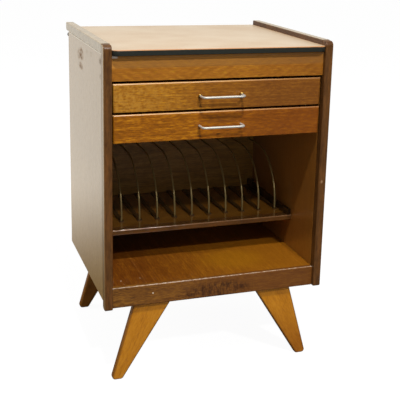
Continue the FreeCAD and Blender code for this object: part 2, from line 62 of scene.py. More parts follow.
# The lamps: degrees to the right of the front, degrees up, metres away and metres wide. The overhead and
# the front one are small and give the shelf and the drawers clear shadows. The one at the side is soft.
LAMPS = {"overhead": (-9, 60, 3.2, 0.12), "front": (9, 41, 3.4, 0.12), "side": (-110, 25, 3.0, 1.4)}


def colour_text(label, default, text):
    """A property that holds one sRGB colour as hex text."""
    return StringProperty(name=label, default=default, description=text)


class WoodColours(bpy.types.PropertyGroup):
    """Colours of the woods and veneers, each as it looks in plain light."""

    front_dark: colour_text("Front veneer, dark", "#613a0a", "Late wood and fibres of the drawer fronts")
    front_mid: colour_text("Front veneer", "#915912", "Body colour of the drawer fronts")
    front_light: colour_text("Front veneer, light", "#bb8020", "Early wood of the drawer fronts")
    rail_dark: colour_text("Rail veneer, dark", "#784a13", "Late wood and fibres of the top rail")
    rail_mid: colour_text("Rail veneer", "#9e6119", "Body colour of the top rail")
    rail_light: colour_text("Rail veneer, light", "#b88025", "Early wood of the top rail")
    # The side tones are lighter than the panels' own brown wood: a painted reflection of the bright room on
    # the glossy outside. inner_face brings back the deeper brown inside.
    side_dark: colour_text("Side veneer, dark", "#b0874a", "Fibres of the side panels")
    side_mid: colour_text("Side veneer", "#c89f60", "Body colour of the side panels, bleached by light")
    side_light: colour_text("Side veneer, light", "#d6b276", "Pale figure of the side panels")
    lipping_dark: colour_text("Lipping, dark", "#35190b", "Pores of the solid lippings")
    lipping_mid: colour_text("Lipping", "#5b3a19", "Body colour of the solid lippings")
    lipping_light: colour_text("Lipping, light", "#71461f", "Pale fibres of the solid lippings")
    base_dark: colour_text("Base veneer, dark", "#5f340b", "Late wood of the base board")
    base_mid: colour_text("Base veneer", "#824b10", "Body colour of the base board")
    base_light: colour_text("Base veneer, light", "#a56b18", "Early wood of the base board")
    apron_dark: colour_text("Base front, dark", "#3a1e06", "Late wood of the base front")
    apron_mid: colour_text("Base front", "#7a4c13", "Body colour of the base front, darker than the board")
    apron_light: colour_text("Base front, light", "#96641c", "Early wood of the base front")
    rack_dark: colour_text("Rack veneer, dark", "#4a2a08", "Late wood of the shelf")
    rack_mid: colour_text("Rack veneer", "#7c5018", "Body colour of the shelf")
    rack_light: colour_text("Rack veneer, light", "#986a28", "Early wood of the shelf")
    back_dark: colour_text("Back panel, dark", "#684a18", "Late wood of the back panel")
    back_mid: colour_text("Back panel", "#9a6e28", "Body colour of the back panel")
    back_light: colour_text("Back panel, light", "#b48a40", "Early wood of the back panel")
    leg_dark: colour_text("Leg, dark", "#8c5009", "Flecks and late wood of the legs")
    leg_mid: colour_text("Leg", "#bd780e", "Body colour of the legs")
    leg_light: colour_text("Leg, light", "#d09026", "Early wood of the legs")
    plain_dark: colour_text("Plain wood, dark", "#8d6a3e", "Flecks of the unstained wood")
    plain_mid: colour_text("Plain wood", "#b08a58", "Unstained wood inside the drawers")
    plain_light: colour_text("Plain wood, light", "#c9a777", "Early wood of the unstained wood")
    stain_dark: colour_text("Stained wood, dark", "#20140a", "Late wood of the stained parts")
    stain_mid: colour_text("Stained wood", "#3f2a12", "Dark stained wood inside and behind")
    stain_light: colour_text("Stained wood, light", "#573b1c", "Early wood of the stained parts")


class TrimColours(bpy.types.PropertyGroup):
    """Colours of everything that isn't wood."""

    laminate: colour_text("Laminate", "#ccb698", "Body colour of the laminate on the top")
    laminate_fleck: colour_text("Laminate fleck", "#b3906c", "Fine printed flecks of the laminate")
    laminate_core: colour_text("Laminate core", "#c87818", "Bevelled edge where the resin core shows")
    edging: colour_text("Edge strip", "#23251f", "Black plastic strip along the front of the top")
    rod: colour_text("Handle rod", "#cfccc2", "Drawn and plated rod of the handles")
    wire: colour_text("Rack wire", "#a08c5c", "Lacquered wire of the record rack")
    brass: colour_text("Brass", "#c8a55a", "Bushes of the upper handle")
    zinc: colour_text("Zinc plating", "#a3a49d", "Screws and nuts")
    peg: colour_text("Peg", "#12150c", "Dark peg on the rear edge of each side")


def grain_size(label, default):
    """A property that holds one size of the grain, in millimetres."""
    return FloatProperty(name=label, default=default, min=0.1, description=label + " in millimetres")


class WoodScales(bpy.types.PropertyGroup):
    """Sizes of the grain. Real fibres and pores are only some tenths of a millimetre wide, and are drawn
    as coarse as they need to be to show."""

    streak_length: grain_size("Streak length", 110.0)
    streak_width: grain_size("Streak width", 3.2)
    fibre_length: grain_size("Fibre length", 12.0)
    fibre_width: grain_size("Fibre width", 2.4)
    pore_length: grain_size("Pore length", 7.0)
    pore_width: grain_size("Pore width", 0.9)
    patch_length: grain_size("Patch length", 42.0)
    patch_width: grain_size("Patch width", 14.0)
    figure_length: grain_size("Figure length", 240.0)
    figure_width: grain_size("Figure width", 48.0)


def light_level(label, default, source):
    """A property that says how bright a light makes a white surface, where 1 is white."""
    return FloatProperty(name=label, default=default, min=0.0,
                         description=f"Brightness from {source}, 1 is white")


class StudioSettings(bpy.types.PropertyGroup):
    """Camera and lamps."""

    place: FloatVectorProperty(name="Camera", default=(-0.5829, -1.8121, 0.9359), unit="LENGTH",
                               description="Where the camera stands, beside the middle of the foot")
    azimuth: FloatProperty(name="Azimuth", default=math.radians(-20.05), unit="ROTATION",
                           description="Direction of view, from straight at the front")
    dip: FloatProperty(name="Dip", default=math.radians(13.85), unit="ROTATION",
                       description="How far the camera looks down")
    roll: FloatProperty(name="Roll", default=math.radians(1.59), unit="ROTATION",
                        description="How far the camera leans")
    lens: FloatProperty(name="Lens", default=77.15, unit="CAMERA",
                        description="Focal length on a 36 mm sensor")
    shift_x: FloatProperty(name="Shift across", default=-0.0590, description="Sideways shift of the frame")
    shift_y: FloatProperty(name="Shift up", default=-0.1408, description="Upward shift of the frame")
    ambient: light_level("Room", 0.36, "the room all round")
    overhead: light_level("Overhead lamp", 0.65, "the lamp high before the object")
    front: light_level("Front lamp", 0.39, "the lower lamp before the object")
    side: light_level("Side lamp", 0.26, "the soft lamp at the left")


def linear(text):
    """The linear colour, with alpha, of an sRGB hex text such as #aa8844."""
    values = [int(text[i:i + 2], 16) / 255 for i in (1, 3, 5)]
    return [v / 12.92 if v <= 0.04045 else ((v + 0.055) / 1.055) ** 2.4 for v in values] + [1.0]


def add(tree, kind, inputs=None, out=0, stops=None, **settings):
    """Adds a node, applies its settings, fills or links its inputs, and returns the output out, or all of
    its outputs where out is None.

    An input has its name or its number. A MapRange turns the range 1 to 2 into 3 to 4, or into 0 to 1. A
    Mix takes its factor at 0 and its numbers at 2 and 3, or its colours at 6 and 7, and then its output
    is 2. stops are the places and tones of a colour ramp.
    """
    made = tree.nodes.new("ShaderNode" + kind)
    for name, value in settings.items():
        setattr(made, name, value)
    for key, value in (inputs or {}).items():
        socket = made.inputs[key]
        if isinstance(value, bpy.types.NodeSocket):
            tree.links.new(value, socket)
        else:
            socket.default_value = value
    if stops:
        ramp = made.color_ramp.elements
        ramp.remove(ramp[-1])
        ramp[0].position = stops[0][0]
        for position, _ in stops[1:]:
            ramp.new(position)
        for element, (_, tone) in zip(ramp, stops):
            element.color = linear(tone)
    return made.outputs if out is None else made.outputs[out]


def blank(name):
    """A new material with an empty node tree."""
    made = bpy.data.materials.new(name)
    made.use_nodes = True
    made.node_tree.nodes.clear()
    return made, made.node_tree


def millimetres(tree):
    """The point of the object that is shaded, in millimetres."""
    here = add(tree, "TexCoord", out="Object")
    return add(tree, "VectorMath", {0: here, "Scale": 1 / MM}, operation="SCALE")


def surface(tree, relief, lift, inputs):
    """Ends a tree with the surface shader and its inputs. lift is the height of the relief, in mm."""
    bump = add(tree, "Bump", {"Height": relief, "Distance": lift * MM, "Strength": 1.0})
    shader = add(tree, "BsdfPrincipled", {"Normal": bump, **inputs})
    add(tree, "OutputMaterial", {"Surface": shader}, out=None)


def wood(name, kind, order, seed, rings, gloss, lean=0.0, figure=0.3, streak=0.45, patch=0.4, fibre=0.55,
         pores=0.35, coat=0.0, coat_roughness=0.12, shine=0.5, overlay=None, matt=None, dull=0.0):
    """Wood or veneer, in the three tones of its kind. order names the axes along the grain, across it and
    into the board.

    lean turns the grain, and seed moves it to another part of the log. figure, streak, patch and fibre
    say how strongly each kind of grain shows, and rings how many growth rings the broad figure winds
    through. gloss is the roughness of the wood and shine its reflection, coat the film of lacquer over it.
    overlay may change the colour at a place: it gets the tree, the x, y and z in mm and the colour, and
    returns the colour. matt gives a mask where the lacquer has lost its gloss, and dull says how much
    rougher the wood is there.
    """
    sizes = bpy.context.scene.nightstand_scales
    woods = bpy.context.scene.nightstand_woods
    tones = [getattr(woods, f"{kind}_{shade}") for shade in ("dark", "mid", "light")]
    made, tree = blank(name)
    axis = add(tree, "SeparateXYZ", {0: millimetres(tree)}, out=None)
    row = add(tree, "CombineXYZ", {i: axis[letter] for i, letter in enumerate(order)})
    grain = add(tree, "Mapping", {"Vector": row, "Rotation": (0, 0, lean), "Location": (seed, seed, seed)})

    def drawn(length, width, detail, rough=0.5, warp=0.0):
        """Noise drawn out along the grain, with one feature to that length and width in millimetres."""
        stretched = add(tree, "Mapping", {"Vector": grain, "Scale": (1 / length, 1 / width, 1 / width)})
        return add(tree, "TexNoise", {"Vector": stretched, "Scale": 1.0, "Detail": detail,
                                      "Roughness": rough, "Distortion": warp})

    # The growth rings: a broad noise is cut into bands, like the contour lines of a map.
    broad = drawn(sizes.figure_length, sizes.figure_width, 1.0, 0.4, 0.4)
    turn = add(tree, "Math", {0: broad, 1: rings * 4 * math.pi}, operation="MULTIPLY")
    wave = add(tree, "Math", {0: turn}, operation="SINE")
    ring = add(tree, "MapRange", {"Value": wave, 1: -1.0, 2: 1.0})
    fibres = drawn(sizes.fibre_length, sizes.fibre_width, 3.0, 0.6)
    layers = ((ring, figure), (drawn(sizes.streak_length, sizes.streak_width, 3.0, 0.6), streak),
              (drawn(sizes.patch_length, sizes.patch_width, 3.0, 0.55, 0.6), patch), (fibres, fibre))
    tone = 0.0
    for layer, weight in layers:
        tone = add(tree, "Math", {0: layer, 1: weight, 2: tone}, operation="MULTIPLY_ADD")
    middle = (figure + streak + patch + fibre) / 2
    reach = 0.3
    stops = [(middle - reach, tones[0]), (middle, tones[1]), (middle + reach, tones[2])]
    colour = add(tree, "ValToRGB", {"Fac": tone}, stops=stops)
    pore = drawn(sizes.pore_length, sizes.pore_width, 1.0)
    deep = add(tree, "MapRange", {"Value": pore, 1: 0.58, 2: 0.72, 3: 0.0, 4: pores})
    colour = tinted(tree, colour, tones[0], deep)
    if overlay:
        colour = overlay(tree, axis, colour)
    # The film is thinner over open fibres, so the glare shows the grain too.
    film = add(tree, "MapRange", {"Value": fibres, 1: 0.3, 2: 0.7, 3: coat, 4: coat * 0.8})
    rough = add(tree, "MapRange", {"Value": fibres, 1: 0.25, 2: 0.75, 3: gloss + 0.06, 4: gloss - 0.06})
    if matt:
        lost = matt(tree, axis)
        kept = add(tree, "Math", {0: 1.0, 1: lost}, operation="SUBTRACT")
        film = overlap(tree, film, kept)
        rough = add(tree, "Math", {0: lost, 1: dull, 2: rough}, operation="MULTIPLY_ADD")
    # The pores lie open, below the fibres.
    height = add(tree, "Math", {0: deep, 1: -1.0, 2: fibres}, operation="MULTIPLY_ADD")
    surface(tree, height, lift=0.02, inputs={
        "Base Color": colour, "Roughness": rough, "Specular IOR Level": shine,
        "Coat Weight": film, "Coat Roughness": coat_roughness})
    return made


def overlap(tree, first, *others):
    """Where several masks overlap: their product. A number makes it weaker."""
    for mask in others:
        first = add(tree, "Math", {0: first, 1: mask}, operation="MULTIPLY")
    return first


def between(tree, value, low, high, soft):
    """1 where a value lies between low and high, with soft ends."""
    rise = add(tree, "MapRange", {"Value": value, 1: low - soft, 2: low + soft})
    fall = add(tree, "MapRange", {"Value": value, 1: high - soft, 2: high + soft, 3: 1.0, 4: 0.0})
    return overlap(tree, rise, fall)


def outward(tree, axis, reach, inner, outer):
    """Turns from the inner to the outer value between two distances from the middle plane, in mm."""
    beside = add(tree, "Math", {0: axis["X"]}, operation="ABSOLUTE")
    return add(tree, "MapRange", {"Value": beside, 1: reach[0], 2: reach[1], 3: inner, 4: outer})


def tinted(tree, colour, tone, *masks, blend="MIX"):
    """A colour with a tone laid over it, or multiplied in, where the masks overlap."""
    return add(tree, "Mix", {0: overlap(tree, *masks), 6: colour, 7: linear(tone)}, out=2,
               data_type="RGBA", blend_type=blend)


def round_spot(tree, across, up, centre, reach, strength=1.0):
    """An oval of two axes with its centre and half sizes in millimetres, soft from 0.55 to 1.15 of them."""
    flat = add(tree, "CombineXYZ", {0: across, 1: up})
    inside = add(tree, "Mapping", {"Vector": flat, "Location": (*centre, 0), "Scale": (*reach, 1)},
                 vector_type="TEXTURE")
    away = add(tree, "VectorMath", {0: inside}, out="Value", operation="LENGTH")
    return add(tree, "MapRange", {"Value": away, 1: 0.55, 2: 1.15, 3: strength, 4: 0.0})


def broken_line(tree, value, length, low, high=0.9):
    """Uneven wear along one axis, in runs of about that length in millimetres."""
    line = add(tree, "CombineXYZ", {0: value})
    noise = add(tree, "TexNoise", {"Vector": line, "Scale": 1 / length, "Detail": 4.0, "Roughness": 0.7})
    return add(tree, "MapRange", {"Value": noise, 1: NOISE_LOW, 2: NOISE_HIGH, 3: low, 4: high})


def mottle(tree, axis, sizes, low, high):
    """A soft mottle, with its size along x, y and z in millimetres."""
    point = add(tree, "CombineXYZ", {0: axis["X"], 1: axis["Y"], 2: axis["Z"]})
    sized = add(tree, "Mapping", {"Vector": point, "Scale": [1 / size for size in sizes]})
    noise = add(tree, "TexNoise", {"Vector": sized, "Scale": 1.0, "Detail": 2.0, "Roughness": 0.6})
    return add(tree, "MapRange", {"Value": noise, 1: NOISE_LOW, 2: NOISE_HIGH, 3: low, 4: high})


def near_front(tree, axis, name, reach):
    """1 within that many millimetres of a piece's front."""
    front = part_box(name)[0].y / MM
    return add(tree, "MapRange", {"Value": axis["Y"], 1: front + reach * 0.7, 2: front + reach * 1.3,
                                  3: 1.0, 4: 0.0})


def laminate_sheet():
    """High-pressure laminate: printed paper under pressed resin, satin, with a fine even print of flecks.

    The bevelled front edge and the cut edges beside the rims show the orange-brown resin core.
    """
    trim = bpy.context.scene.nightstand_trim
    made, tree = blank("pressed_laminate")
    point = millimetres(tree)
    axis = add(tree, "SeparateXYZ", {0: point}, out=None)
    # The printed flecks are under a millimetre wide, and are drawn at 2.5 mm so that they show.
    fleck = add(tree, "TexNoise", {"Vector": point, "Scale": 1 / 2.5, "Detail": 3.0, "Roughness": 0.7})
    cloud = add(tree, "TexNoise", {"Vector": point, "Scale": 1 / 100, "Detail": 2.0})
    amount = add(tree, "MapRange", {"Value": fleck, 1: 0.40, 2: 0.75, 3: 0.0, 4: 0.5})
    haze = add(tree, "MapRange", {"Value": cloud, 1: 0.35, 2: 0.7, 3: 0.0, 4: 0.3})
    worn = add(tree, "Math", {0: amount, 1: haze}, operation="ADD")
    colour = tinted(tree, linear(trim.laminate), trim.laminate_fleck, worn)
    low, high = (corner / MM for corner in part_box("top_laminate"))
    edge = add(tree, "MapRange", {"Value": axis["Y"], 1: low.y + 3.5, 2: low.y + 10.5, 3: 0.75, 4: 0.0})
    rim = outward(tree, axis, (high.x - 2.6, high.x - 0.8), 0.0, 0.5)
    core = add(tree, "Math", {0: edge, 1: rim}, operation="MAXIMUM")
    colour = tinted(tree, colour, trim.laminate_core, core)
    rough = add(tree, "MapRange", {"Value": cloud, 1: 0.3, 2: 0.7, 3: 0.30, 4: 0.38})
    surface(tree, fleck, lift=0.008, inputs={"Base Color": colour, "Roughness": rough})
    return made


def plain(name, tone, roughness, grit, spread=0.18, lift=0.02, metallic=0.0, shine=0.5):
    """A moulded, plated or lacquered finish: one tone with a little mottle.

    grit is the mottle's size in millimetres, coarser than the real one, so that it shows, spread how far
    it goes lighter and darker, and lift how high it stands.
    """
    made, tree = blank(name)
    point = millimetres(tree)
    speck = add(tree, "TexNoise", {"Vector": point, "Scale": 1 / grit, "Detail": 3.0, "Roughness": 0.6})
    shade = add(tree, "MapRange", {"Value": speck, 1: 0.3, 2: 0.7, 3: 1 - spread, 4: 1 + spread})
    colour = add(tree, "Mix", {0: 1.0, 6: linear(tone), 7: shade}, out=2,
                 data_type="RGBA", blend_type="MULTIPLY")
    rough = add(tree, "MapRange", {"Value": speck, 1: 0.3, 2: 0.7, 3: roughness - 0.05,
                                   4: roughness + 0.07})
    surface(tree, speck, lift, inputs={"Base Color": colour, "Roughness": rough, "Metallic": metallic,
                                       "Specular IOR Level": shine})
    return made


def finish(material, slot, *names):
    """Gives CAD nodes a material. The slot argument is not used."""
    for name in names:
        piece = NODES[name]
        piece.data.materials.clear()
        piece.data.materials.append(material)


def ease(width, *names, segments=2):
    """Sanded arrises: a small round on the square edges of CAD nodes. width is in millimetres."""
    for name in names:
        piece = NODES[name]
        weld = piece.modifiers.new("joined edges", "WELD")
        weld.merge_threshold = 0.01 * MM
        bevel = piece.modifiers.new("sanded arris", "BEVEL")
        bevel.width = width * MM
        bevel.segments = segments
        bevel.limit_method = "ANGLE"
        bevel.angle_limit = math.radians(40)
        bevel.use_clamp_overlap = True
        bevel.harden_normals = True


class NIGHTSTAND_OT_sides(bpy.types.Operator):
    """Side panels, front posts and top rims"""

    bl_idname = "nightstand.sides"
    bl_label = "Sides and lippings"

    def execute(self, context):
        for hand, seed, overlay, matt in (("left", 3.0, left_side_marks_and_shading, rubbed_stains),
                                          ("right", 41.0, inner_face, None)):
            # Veneered board under a thick brushed lacquer: the fine grain shows softly through the gloss.
            panel = wood("lacquered_side_veneer_" + hand, "side", "ZYX", rings=4, seed=seed, figure=0.04,
                         streak=0.5, patch=0.35, fibre=0.35, pores=0.2, gloss=0.32, coat=0.8,
                         coat_roughness=0.14, overlay=overlay, matt=matt, dull=0.45)
            finish(panel, "side_veneer", "side_panel_" + hand)
            # Solid dark hardwood, planed and lacquered: satin, with short fine streaks along the piece.
            post = wood("solid_post_lipping_" + hand, "lipping", "ZXY", rings=2, seed=seed * 2,
                        figure=0.1, streak=0.5, gloss=0.42, coat=0.8, coat_roughness=0.2, shine=0.25,
                        overlay=post_wear_and_reflection, matt=post_front)
            rim = wood("solid_rim_" + hand, "lipping", "YXZ", rings=2, seed=seed * 3, figure=0.1,
                       streak=0.5, gloss=0.36, coat=0.8, coat_roughness=0.18, overlay=rim_outside,
                       matt=rim_inside, dull=0.3)
            finish(post, "dark_lipping", "front_post_" + hand)
            finish(rim, "dark_lipping", "top_rim_" + hand)
            ease(0.6, "front_post_" + hand)
        return {"FINISHED"}


def inner_face(tree, axis, colour):
    """The inside of a panel keeps the deep orange-brown of its wood; the lighter outside is a painted
    reflection of the bright room.
    """
    inside = outward(tree, axis, PANEL_CORE, 1.0, 0.0)
    return tinted(tree, colour, "#bc9866", inside, blend="MULTIPLY")


def rim_outside(tree, axis, colour):
    """The rims are tinted light on the outside and on top, a painted reflection of the bright room, and stay
    dark toward the laminate.
    """
    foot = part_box("top_rim_left")[0].z / MM
    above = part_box("top_rim_left")[1].z / MM
    # Painted reflection: the outside and the top face take a light tint.
    outside = outward(tree, axis, RIM_OUTER_ARRIS, 0.0, 0.9)
    top = add(tree, "MapRange", {"Value": axis["Z"], 1: above - 0.6, 2: above - 0.2, 3: 0.0, 4: 0.75})
    painted_reflection = add(tree, "Math", {0: outside, 1: top}, operation="MAXIMUM")
    patchy = mottle(tree, axis, (14, 14, 14), 0.6, 1.0)
    colour = tinted(tree, colour, "#b29a70", painted_reflection, patchy)
    # A painted highlight along the groove at its foot.
    painted_highlight_groove = add(tree, "MapRange", {"Value": axis["Z"], 1: foot + 1.3, 2: foot + 1.7, 3: 1.0, 4: 0.0})
    return tinted(tree, colour, "#f6ead6", painted_highlight_groove, outside)


def rim_inside(tree, axis):
    """A rim's side toward the laminate has lost its gloss."""
    return outward(tree, axis, RIM_INNER_ARRIS, 0.95, 0.0)


def left_side_spots(tree, axis):
    """The brown stains and small knocks near the top of the left side, each as a mask and its tone."""
    # Centre and half size along the depth and the height in millimetres, strength and tone.
    spots = (((26, 673), (26, 14), 0.95, "#80541c"), ((54, 668), (20, 12), 0.6, "#8a6028"),
             ((34, 646), (26, 9), 0.7, "#80541c"), ((-39, 685), (8, 5), 0.35, "#5c4426"),
             ((-82, 687), (8, 6), 0.35, "#5c4426"), ((-173, 686), (10, 8), 0.62, "#4a3820"),
             ((-173, 656), (10, 6), 0.5, "#4a3820"))
    patchy = mottle(tree, axis, (6, 20, 6), 0.25, 1.0)
    for centre, reach, strength, tone in spots:
        spot = round_spot(tree, axis["Y"], axis["Z"], centre, reach, strength)
        yield overlap(tree, spot, patchy), tone


def rubbed_stains(tree, axis):
    """The stains and knocks of the left side have lost their gloss."""
    worn = 0.0
    for spot, _ in left_side_spots(tree, axis):
        worn = add(tree, "Math", {0: spot, 1: worn}, operation="MAXIMUM")
    return worn


def left_side_marks_and_shading(tree, axis, colour):
    """The left side has stains and a painted highlight line under the rim, and its upper half is darkened,
    as painted shade over the painted reflection.
    """
    colour = inner_face(tree, axis, colour)
    # Painted shade: the upper half is darkened, which tones down the painted reflection there.
    upper = add(tree, "MapRange", {"Value": axis["Z"], 1: 250.0, 2: 480.0})
    colour = tinted(tree, colour, "#d2cabc", upper, blend="MULTIPLY")
    for spot, tone in left_side_spots(tree, axis):
        colour = tinted(tree, colour, tone, spot)
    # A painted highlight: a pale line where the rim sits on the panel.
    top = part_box("side_panel_left")[1].z / MM
    painted_highlight_line = add(tree, "MapRange", {"Value": axis["Z"], 1: top - 2.6, 2: top - 1.2, 3: 0.0, 4: 0.8})
    return tinted(tree, colour, "#e8d8bc", painted_highlight_line)


def post_wear_and_reflection(tree, axis, colour):
    """A post's outer side is tinted lighter like the panel's, a painted reflection, and the right post has a
    pale knock.
    """
    knock = round_spot(tree, axis["X"], axis["Z"], (234.5, 414.5), (3.0, 4.0), 0.7)
    colour = tinted(tree, colour, "#a4805e", knock)
    # Painted reflection on the outer side, broken unevenly along the height.
    outer = outward(tree, axis, POST_OUTER_ARRIS, 0.0, 0.9)
    return tinted(tree, colour, "#a88450", outer, broken_line(tree, axis["Z"], 30.0, 0.7))


def post_front(tree, axis):
    """A post's gloss is left on its outer side alone."""
    return outward(tree, axis, POST_OUTER_ARRIS, 0.88, 0.0)


class NIGHTSTAND_OT_top(bpy.types.Operator):
    """Top board with its laminate, edge strip, rails and cleats"""

    bl_idname = "nightstand.top"
    bl_label = "Top"

    def execute(self, context):
        trim = context.scene.nightstand_trim
        finish(laminate_sheet(), "laminate", "top_laminate")
        # Extruded plastic strip, black with a green cast, slightly dull from wear.
        strip = plain("extruded_plastic_strip", trim.edging, 0.42, grit=2.5, spread=0.12)
        finish(strip, "black_edging", "top_edge_strip")
        # Sliced veneer under a thin sprayed lacquer: satin, with its open fibres seen as short strokes.
        rail = wood("top_rail_veneer", "rail", "XZY", rings=3, seed=11.0, figure=0.0, streak=0.3,
                    patch=0.25, fibre=0.95, pores=0.3, gloss=0.30, coat=0.1, coat_roughness=0.18, shine=0.35,
                    overlay=rail_figure_and_highlights)
        finish(rail, "front_veneer", "top_rail")
        # Solid softwood, sawn and stained, without lacquer: dark and dull.
        stained = wood("stained_carcass_wood", "stain", "XZY", rings=3, seed=5.0, gloss=0.55)
        finish(stained, "dark_stained_wood", "rear_top_rail", "top_cleats", "top_board")
        ease(0.6, "top_edge_strip", "top_laminate")
        return {"FINISHED"}


def rail_figure_and_highlights(tree, axis, colour):
    """Pointed arches in the rail's veneer, a painted light band under the edge strip, and painted glints and
    highlights along its top edge, brightest at the left end.
    """
    peak = -70.0
    off = add(tree, "Math", {0: axis["X"], 1: peak}, operation="SUBTRACT")
    aside = add(tree, "Math", {0: off}, operation="ABSOLUTE")
    rise = add(tree, "Math", {0: aside, 1: -0.6, 2: axis["Z"]}, operation="MULTIPLY_ADD")
    along = add(tree, "Math", {0: axis["X"], 1: 0.2}, operation="MULTIPLY")
    bent = add(tree, "CombineXYZ", {0: rise, 1: along})
    # The wave repeats after pi / (10 * scale), so an arch stands 15.7 mm above the next.
    arches = add(tree, "TexWave", {"Vector": bent, "Scale": 0.020, "Distortion": 6.0, "Detail": 3.0,
                                   "Detail Scale": 1.4}, out="Fac")
    patchy = mottle(tree, axis, (45, 45, 45), 0.15, 0.6)
    colour = tinted(tree, colour, "#804c10", arches, patchy)
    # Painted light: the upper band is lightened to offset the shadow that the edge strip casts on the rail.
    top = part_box("top_rail")[1].z / MM
    painted_light_band = add(tree, "MapRange", {"Value": axis["Z"], 1: top - 28.0, 2: top - 23.5, 3: 0.0, 4: 0.4})
    colour = tinted(tree, colour, "#d8984a", painted_light_band)
    right = add(tree, "MapRange", {"Value": axis["X"], 1: 40.0, 2: 200.0})
    colour = tinted(tree, colour, "#e8e4f0", right, blend="MULTIPLY")
    # Two painted lines along the top arris: broken pale glints of reflection below the laminate, and a
    # golden highlight under them.
    painted_glints = between(tree, axis["Z"], top - 6.0, top - 4.8, 0.4)
    broken = broken_line(tree, axis["X"], 40.0, 0.1, 0.5)
    colour = tinted(tree, colour, "#b48c68", painted_glints, broken)
    golden = between(tree, axis["Z"], top - 9.5, top - 7.5, 0.6)
    colour = tinted(tree, colour, "#d08c34", golden, 0.4)
    # A painted highlight where light reaches the rounded arris at the left end.
    end = add(tree, "MapRange", {"Value": axis["X"], 1: -217.0, 2: -213.0, 3: 1.0, 4: 0.0})
    painted_end_highlight = add(tree, "MapRange", {"Value": axis["Z"], 1: top - 7.0, 2: top - 5.0})
    return tinted(tree, colour, "#f4e6d6", end, painted_end_highlight)


class NIGHTSTAND_OT_base(bpy.types.Operator):
    """Bottom board, base front, bearers, back panel and pegs"""

    bl_idname = "nightstand.base"
    bl_label = "Base and back"

    def execute(self, context):
        # Veneer laid front to back in leaves and lacquered: warm, with a soft sheen.
        floor = wood("base_board_veneer", "base", "YXZ", rings=2, seed=23.0, figure=0.03, streak=0.62,
                     patch=0.42, fibre=0.5, gloss=0.34, coat=0.4, coat_roughness=0.2, overlay=base_leaves)
        finish(floor, "base_veneer", "bottom_board")
        # Veneer laid along the front, stained darker than the board and worn: nearly without gloss.
        front = wood("base_front_veneer", "apron", "XZY", rings=3, seed=31.0, figure=0.05, patch=0.4,
                     fibre=0.8, gloss=0.42, coat=0.1, coat_roughness=0.25, overlay=base_front_marks_and_highlight)
        finish(front, "base_veneer", "base_front")
        # Thin plywood, peeled and stained: level streaks and little gloss.
        back = wood("stained_plywood_back", "back", "XZY", rings=3, seed=8.0, figure=0.08, gloss=0.45)
        finish(back, "plywood", "back_panel")
        # Solid softwood, sawn and stained, as behind the top.
        bearer = wood("stained_bearer_wood", "stain", "XZY", rings=3, seed=15.0, gloss=0.55)
        finish(bearer, "dark_stained_wood", "front_bearer", "rear_base_rail")
        # Turned hardwood peg, stained nearly black and waxed: a dull dark dot.
        peg = plain("turned_dark_peg", context.scene.nightstand_trim.peg, 0.7, grit=1.0, shine=0.1)
        finish(peg, "dark_peg", "rear_pegs")
        ease(0.5, "base_front")
        return {"FINISHED"}


def base_leaves(tree, axis, colour):
    """The base board is darker to the left and golden to the right, with a faint seam between two leaves and
    two chips near it."""
    right = add(tree, "MapRange", {"Value": axis["X"], 1: -160.0, 2: 150.0, 3: 0.0, 4: 0.5})
    colour = tinted(tree, colour, "#9e620c", right)
    left = add(tree, "MapRange", {"Value": axis["X"], 1: -150.0, 2: 40.0, 3: 1.0, 4: 0.0})
    colour = tinted(tree, colour, "#d6c8ca", left, blend="MULTIPLY")
    glow = round_spot(tree, axis["X"], axis["Y"], (70, -100), (80, 60), 0.25)
    colour = tinted(tree, colour, "#b07808", glow)
    seam = between(tree, axis["X"], -152.0, -149.5, 1.0)
    broken = broken_line(tree, axis["Y"], 30.0, 0.0, 0.3)
    colour = tinted(tree, colour, "#c08038", seam, broken)
    for centre in ((-200.5, -156.0), (-158.0, -151.0)):
        chip = round_spot(tree, axis["X"], axis["Y"], centre, (1.4, 3.0), 0.5)
        colour = tinted(tree, colour, "#e0ccb0", chip)
    return colour


def base_front_marks_and_highlight(tree, axis, colour):
    """Darker to the right, with a pale line along the top edge that is partly wear and partly a painted
    highlight, knocks toward the middle and a tiny chip."""
    darker = add(tree, "MapRange", {"Value": axis["X"], 1: -220.0, 2: 60.0, 3: 0.05, 4: 0.65})
    colour = tinted(tree, colour, "#6b3a10", darker)
    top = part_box("base_front")[1].z / MM
    # The pale top line: partly wear, partly a painted highlight.
    edge = add(tree, "MapRange", {"Value": axis["Z"], 1: top - 1.1, 2: top - 0.5})
    near = near_front(tree, axis, "base_front", 2.5)
    broken = broken_line(tree, axis["X"], 10.0, 0.0, 0.95)
    colour = tinted(tree, colour, "#d0bca4", edge, near, broken)
    # The wood is blackened round the knocks, in marks that stand upright.
    middle = round_spot(tree, axis["X"], axis["Z"], (5, 186), (85, 22))
    upright = mottle(tree, axis, (4, 4, 10), 0.0, 0.75)
    colour = tinted(tree, colour, "#3e200c", middle, upright)
    knocks = (((-60, 182), (9, 7)), ((-28, 184), (6, 10)), ((-12, 190), (5, 14)), ((8, 181), (8, 8)),
              ((24, 196), (12, 7)), ((60, 188), (14, 6)))
    patchy = mottle(tree, axis, (5, 5, 5), 0.15, 0.6)
    for centre, reach in knocks:
        knock = round_spot(tree, axis["X"], axis["Z"], centre, reach)
        colour = tinted(tree, colour, "#35190a", knock, patchy)
    chip = round_spot(tree, axis["X"], axis["Z"], (-140, 195.5), (1.6, 1.8))
    return tinted(tree, colour, "#dcc8b0", chip)


